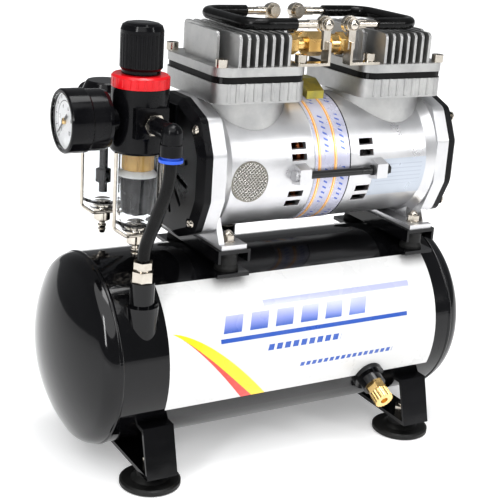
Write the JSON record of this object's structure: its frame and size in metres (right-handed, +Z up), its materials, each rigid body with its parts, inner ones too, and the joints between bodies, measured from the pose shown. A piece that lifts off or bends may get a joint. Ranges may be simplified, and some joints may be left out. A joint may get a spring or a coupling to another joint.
{
  "type": "airbrush compressor",
  "caption": "Oil-free electric airbrush compressor on a horizontal air tank, with paired cylinder heads, a regulator with gauge, a water trap, folding handles and rubber feet.",
  "frame": {"origin": "on the floor under the middle of the air tank", "axes": "+X along the tank to the compressor's right, +Y towards its rear, +Z up"},
  "size_m": [0.304, 0.1624, 0.2929],
  "materials": {
    "black_enamel": "gloss",
    "black_rubber": "matte",
    "nickel": "polished",
    "silver_casting": "satin",
    "bare_aluminium": "blasted",
    "black_gasket": "matte",
    "band_print": "gloss",
    "copper_wire": "varnished",
    "steel": "machined",
    "black_plastic": "gloss",
    "black_steel": "satin",
    "mesh_steel": "woven",
    "brass": "machined",
    "zinc_plate": "yellow passivated",
    "hose_black": "semi-gloss",
    "red_plastic": "gloss",
    "blue_plastic": "gloss",
    "dial_white": "satin",
    "needle_black": "matte",
    "clear_lens": "clear",
    "filter_element": "sintered",
    "piston_alloy": "machined"
  },
  "bodies": {
    "frame": {"tank_shell": "black_enamel", "tank_ends": "black_enamel", "leg_straps": "black_enamel", "foot_pads": "black_rubber", "mount_fasteners": "nickel", "pipe_nuts": "nickel", "air_hose": "hose_black", "drain_valve": "brass", "rubber_isolators": "black_rubber", "mount_bars": "black_enamel", "motor_housing_left": "silver_casting", "motor_housing_right": "silver_casting", "stator_core": "band_print", "stator_windings": "copper_wire", "shaft_bearings": "steel", "end_covers": "black_plastic", "cover_screws": "nickel", "tie_bolts": "black_steel", "intake_screens": "mesh_steel", "cylinders": "bare_aluminium", "valve_plates": "black_gasket", "cylinder_head_left": "bare_aluminium", "cylinder_head_right": "bare_aluminium", "head_bolts": "nickel", "transfer_tube": "brass", "discharge_hose": "hose_black", "handle_straps": "nickel", "pivot_bolts": "nickel", "regulator_body": "black_plastic", "regulator_ring": "red_plastic", "regulator_spring": "steel", "gauge_case": "black_plastic", "gauge_dial": "dial_white", "gauge_lens": "clear_lens", "filter_bowls": "clear_lens", "bowl_bails": "nickel", "filter_elements": "filter_element", "filter_drain_nuts": "nickel", "elbow_fitting": "black_plastic", "rear_filter_body": "black_plastic", "unit_bracket": "black_plastic", "terminal_cover": "zinc_plate", "switch_box": "black_plastic"},
    "rotor": {"crankshaft": "steel", "rotor_core": "steel", "cooling_fans": "black_plastic"},
    "left_piston": {"piston_left": "piston_alloy"},
    "right_piston": {"piston_right": "piston_alloy"},
    "pressure_screw": {"adjusting_screw": "steel"},
    "pressure_knob": {"regulator_knob": "black_plastic"},
    "needle": {"gauge_needle": "needle_black"},
    "front_drain": {"drain_stem_front": "nickel"},
    "rear_drain": {"drain_stem_rear": "nickel"},
    "hose_release": {"release_collar": "blue_plastic"},
    "tank_drain": {"tank_drain_knob": "brass"},
    "left_handle": {"handle_left": "nickel", "grip_left": "hose_black"},
    "right_handle": {"handle_right": "nickel", "grip_right": "hose_black"},
    "power_rocker": {"switch_rocker": "red_plastic"}
  },
  "joints": [
    {"name": "shaft_turn", "type": "hinge", "parent": "frame", "child": "rotor", "pos_m": [0.028, 0, 0.1955], "axis": [1, 0, 0], "continuous": true},
    {"name": "left_piston_stroke", "type": "slide", "parent": "frame", "child": "left_piston", "axis": [0, 0, 1], "range_m": [-0.01, 0]},
    {"name": "right_piston_stroke", "type": "slide", "parent": "frame", "child": "right_piston", "axis": [0, 0, 1], "range_m": [0, 0.01]},
    {"name": "pressure_screw_turn", "type": "hinge", "parent": "frame", "child": "pressure_screw", "pos_m": [-0.101, -0.021, 0.26], "axis": [0, 0, 1], "range_deg": [-1080, 1080]},
    {"name": "knob_lift", "type": "slide", "parent": "pressure_screw", "child": "pressure_knob", "axis": [0, 0, 1], "range_m": [0, 0.0035]},
    {"name": "needle_sweep", "type": "hinge", "parent": "frame", "child": "needle", "pos_m": [-0.14, -0.021, 0.231], "axis": [1, 0, 0], "range_deg": [0, 270]},
    {"name": "front_drain_push", "type": "slide", "parent": "frame", "child": "front_drain", "axis": [0, 0, 1], "range_m": [0, 0.0025], "stiffness_N_per_m": 300, "springref_m": -0.001},
    {"name": "rear_drain_push", "type": "slide", "parent": "frame", "child": "rear_drain", "axis": [0, 0, 1], "range_m": [0, 0.0025], "stiffness_N_per_m": 300, "springref_m": -0.001},
    {"name": "hose_release_push", "type": "slide", "parent": "frame", "child": "hose_release", "axis": [0, 0, 1], "range_m": [0, 0.0015], "stiffness_N_per_m": 400, "springref_m": -0.001},
    {"name": "tank_drain_turn", "type": "hinge", "parent": "frame", "child": "tank_drain", "pos_m": [0.062, -0.07251, 0.04319], "axis": [0, -0.9063, -0.4226], "range_deg": [0, 720]},
    {"name": "left_handle_swing", "type": "hinge", "parent": "frame", "child": "left_handle", "pos_m": [0.0185, 0, 0.2875], "axis": [0, 1, 0], "range_deg": [0, 90]},
    {"name": "right_handle_swing", "type": "hinge", "parent": "frame", "child": "right_handle", "pos_m": [0.0375, 0, 0.2875], "axis": [0, -1, 0], "range_deg": [0, 90]},
    {"name": "rocker_tilt", "type": "hinge", "parent": "frame", "child": "power_rocker", "pos_m": [-0.03, 0.0564, 0.2], "axis": [1, 0, 0], "range_deg": [0, 16]}
  ]
}
